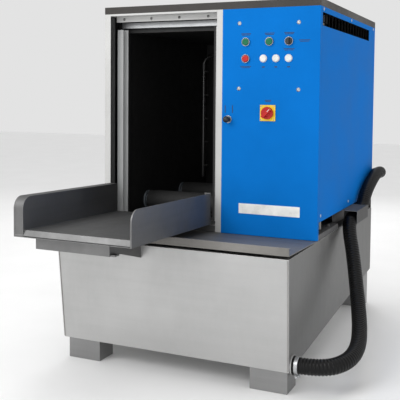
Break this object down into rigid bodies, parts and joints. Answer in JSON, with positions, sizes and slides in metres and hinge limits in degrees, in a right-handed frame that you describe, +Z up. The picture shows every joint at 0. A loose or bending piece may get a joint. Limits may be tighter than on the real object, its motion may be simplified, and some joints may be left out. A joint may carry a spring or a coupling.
{
  "type": "automatic wheel washing machine",
  "caption": "Wheel washing machine: sloped stainless tank on box feet, spray cabinet with a sliding door, loading tray and wheel rollers, blue machine room with controls and a suction hose",
  "frame": {"origin": "on the floor, under the middle of the machine's bounding box measured without its suction hose", "axes": "+X is to the operator's right, +Y runs from the operator to the back of the machine, +Z is up; the loading tray and the controls face -Y"},
  "size_m": [1.1516, 1.78, 1.4],
  "materials": {
    "stainless": "brushed",
    "stainless_dark": "brushed",
    "ledge_steel": "dull",
    "cabinet_white": "semi-gloss",
    "cabinet_grey": "semi-gloss",
    "blue_paint": "semi-gloss",
    "cover_paint": "textured matt",
    "zinc": "plated",
    "aluminium": "anodised",
    "chrome": "polished",
    "rubber": "matt",
    "black_plastic": "matt",
    "green_plastic": "gloss",
    "red_plastic": "gloss",
    "white_plastic": "gloss",
    "yellow_plastic": "satin",
    "label": "satin",
    "motor_paint": "satin",
    "cast_pump": "painted",
    "hose_black": "matt",
    "roller_cover": "ribbed"
  },
  "bodies": {
    "cabinet": {"tank_tub": "stainless", "front_feet": "stainless", "rear_feet": "stainless", "drip_ledge": "ledge_steel", "sieve_plate": "stainless_dark", "left_wall": "cabinet_white", "rear_wall": "cabinet_white", "top_cover": "cover_paint", "header_rail": "cabinet_white", "front_left_post": "cabinet_white", "front_middle_post": "cabinet_white", "machine_base": "cabinet_grey", "front_panel": "blue_paint", "side_panel": "blue_paint", "vent_screen": "black_plastic", "label_plate": "label", "chamber_walls": "stainless", "hose_guard": "stainless_dark", "chamber_roof": "stainless", "chamber_frame": "stainless", "door_sill": "stainless_dark", "door_jamb": "cabinet_grey", "door_rail": "zinc", "rail_cover": "cabinet_white", "cover_screws": "zinc", "door_cylinder": "aluminium", "loading_tray": "stainless_dark", "tray_support": "stainless_dark", "roller_bearings": "cast_pump", "gearmotor": "motor_paint", "drive_belt": "rubber", "pump_housing": "cast_pump", "pump_motor": "motor_paint", "spray_pipe": "stainless", "hose_spigots": "stainless", "suction_hose": "hose_black", "hose_clamp": "zinc", "electrical_box": "cabinet_grey", "button_bezels": "chrome", "indicator_lamps": "white_plastic", "main_switch_base": "yellow_plastic", "lever_valve": "zinc"},
    "door": {"door_leaf": "stainless", "door_seal": "rubber", "door_hangers": "zinc", "cylinder_carriage": "aluminium"},
    "left_hanger_roller": {"hanger_roller_left": "black_plastic"},
    "right_hanger_roller": {"hanger_roller_right": "black_plastic"},
    "wheel_driver": {"drive_roller": "roller_cover", "roller_pulley": "zinc"},
    "wheel_idler": {"idler_roller": "roller_cover"},
    "driver_motor": {"motor_pulley": "zinc"},
    "impeller": {"pump_impeller": "stainless"},
    "start_button": {"green_button_left": "green_plastic"},
    "light_button": {"green_button_right": "green_plastic"},
    "stop_button": {"red_button": "red_plastic"},
    "selector": {"mode_selector": "black_plastic"},
    "main_switch": {"main_switch_knob": "red_plastic"},
    "lever": {"valve_lever": "black_plastic"}
  },
  "joints": [
    {"name": "door_slide", "type": "slide", "parent": "cabinet", "child": "door", "axis": [-1, 0, 0], "range_m": [0, 0.416]},
    {"name": "left_hanger_spin", "type": "hinge", "parent": "door", "child": "left_hanger_roller", "pos_m": [0.09, -0.081, 1.3514], "axis": [0, 1, 0], "continuous": true},
    {"name": "right_hanger_spin", "type": "hinge", "parent": "door", "child": "right_hanger_roller", "pos_m": [0.39, -0.081, 1.3514], "axis": [0, 1, 0], "continuous": true},
    {"name": "wheel_drive_spin", "type": "hinge", "parent": "cabinet", "child": "wheel_driver", "pos_m": [-0.18, 0.153, 0.545], "axis": [1, 0, 0], "continuous": true},
    {"name": "wheel_idler_spin", "type": "hinge", "parent": "cabinet", "child": "wheel_idler", "pos_m": [-0.18, 0.523, 0.545], "axis": [1, 0, 0], "continuous": true},
    {"name": "motor_spin", "type": "hinge", "parent": "cabinet", "child": "driver_motor", "pos_m": [0.12, 0.153, 0.76], "axis": [1, 0, 0], "continuous": true},
    {"name": "impeller_spin", "type": "hinge", "parent": "cabinet", "child": "impeller", "pos_m": [0.31, 0.623, 0.59], "axis": [0, 1, 0], "continuous": true},
    {"name": "start_button_push", "type": "slide", "parent": "cabinet", "child": "start_button", "axis": [0, 1, 0], "range_m": [0, 0.004], "stiffness_N_per_m": 800},
    {"name": "light_button_push", "type": "slide", "parent": "cabinet", "child": "light_button", "axis": [0, 1, 0], "range_m": [0, 0.004], "stiffness_N_per_m": 800},
    {"name": "stop_button_push", "type": "slide", "parent": "cabinet", "child": "stop_button", "axis": [0, 1, 0], "range_m": [0, 0.004], "stiffness_N_per_m": 800},
    {"name": "selector_turn", "type": "hinge", "parent": "cabinet", "child": "selector", "pos_m": [0.348, -0.177, 1.241], "axis": [0, 1, 0], "range_deg": [0, 60]},
    {"name": "main_switch_turn", "type": "hinge", "parent": "cabinet", "child": "main_switch", "pos_m": [0.266, -0.177, 0.965], "axis": [0, 1, 0], "range_deg": [-45, 45]},
    {"name": "lever_turn", "type": "hinge", "parent": "cabinet", "child": "lever", "pos_m": [0.101, -0.15, 0.938], "axis": [1, 0, 0], "range_deg": [0, 8]}
  ],
  "couplings": [
    {"joint": "motor_spin", "follows": "wheel_drive_spin", "ratio": 1.5}
  ]
}
